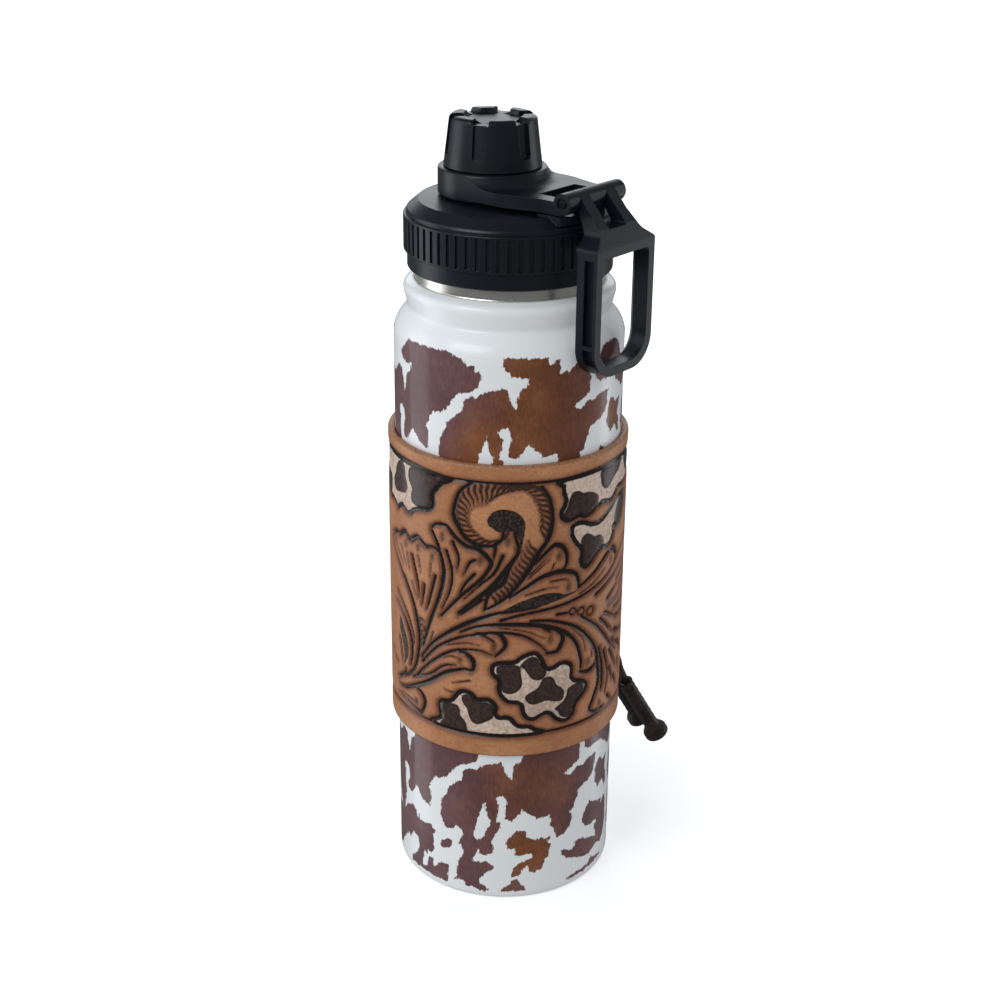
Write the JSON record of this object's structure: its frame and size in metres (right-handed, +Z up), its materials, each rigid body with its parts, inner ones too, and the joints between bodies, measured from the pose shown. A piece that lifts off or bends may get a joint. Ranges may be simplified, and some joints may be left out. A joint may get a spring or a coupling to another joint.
{
  "type": "insulated water bottle",
  "caption": "Straight double-wall steel bottle with laced leather sleeve, screw lid, hinged spout cap and carry loop.",
  "frame": {"origin": "centre of the base on the floor", "axes": "+Z up the bottle's axis, +X towards the lid's hinge and carry loop, +Y along the hinge pin"},
  "size_m": [0.0834, 0.0979, 0.258],
  "materials": {
    "coated_steel": "satin",
    "bare_steel": "polished",
    "getter_metal": "matte",
    "silicone": "matte",
    "tooled_leather": "satin",
    "lace_leather": "matte",
    "tip_leather": "satin",
    "black_plastic": "satin",
    "inner_plastic": "satin",
    "pin_steel": "satin"
  },
  "bodies": {
    "bottle": {"outer_shell": "coated_steel", "inner_liner": "bare_steel", "base_cup": "coated_steel", "base_pad": "silicone", "getter": "getter_metal", "leather_sleeve": "tooled_leather", "back_lacing": "lace_leather", "lace_tail_near": "lace_leather", "lace_tail_far": "lace_leather", "lace_tip_near": "tip_leather", "lace_tip_far": "tip_leather"},
    "lid_seal": {"lid_gasket": "silicone"},
    "lid": {"lid_shell": "black_plastic", "lid_liner": "inner_plastic", "spout": "inner_plastic", "spout_seal": "silicone", "hinge_pin": "pin_steel"},
    "strap": {"cap_strap": "black_plastic"},
    "cap": {"cap_shell": "black_plastic", "cap_liner": "inner_plastic", "cap_gasket": "silicone", "cap_snap_ring": "inner_plastic"},
    "handle": {"carry_handle": "black_plastic"}
  },
  "joints": [
    {"name": "lid_lift", "type": "slide", "parent": "bottle", "child": "lid_seal", "axis": [0, 0, 1], "range_m": [0, 0.0125]},
    {"name": "lid_turn", "type": "hinge", "parent": "lid_seal", "child": "lid", "pos_m": [0, 0, 0.2232], "axis": [0, 0, 1], "range_deg": [0, 900]},
    {"name": "strap_swing", "type": "hinge", "parent": "lid", "child": "strap", "pos_m": [0.0305, 0, 0.2382], "axis": [0, 1, 0], "range_deg": [0, 170]},
    {"name": "cap_turn", "type": "hinge", "parent": "strap", "child": "cap", "pos_m": [-0.00726, 0, 0.2427], "axis": [0, 0, 1], "continuous": true},
    {"name": "handle_swing", "type": "hinge", "parent": "lid", "child": "handle", "pos_m": [0.0305, 0, 0.2382], "axis": [0, -1, 0], "range_deg": [0, 160]}
  ],
  "couplings": [
    {"joint": "lid_lift", "follows": "lid_turn", "m_per_rad": 0.00079577}
  ]
}
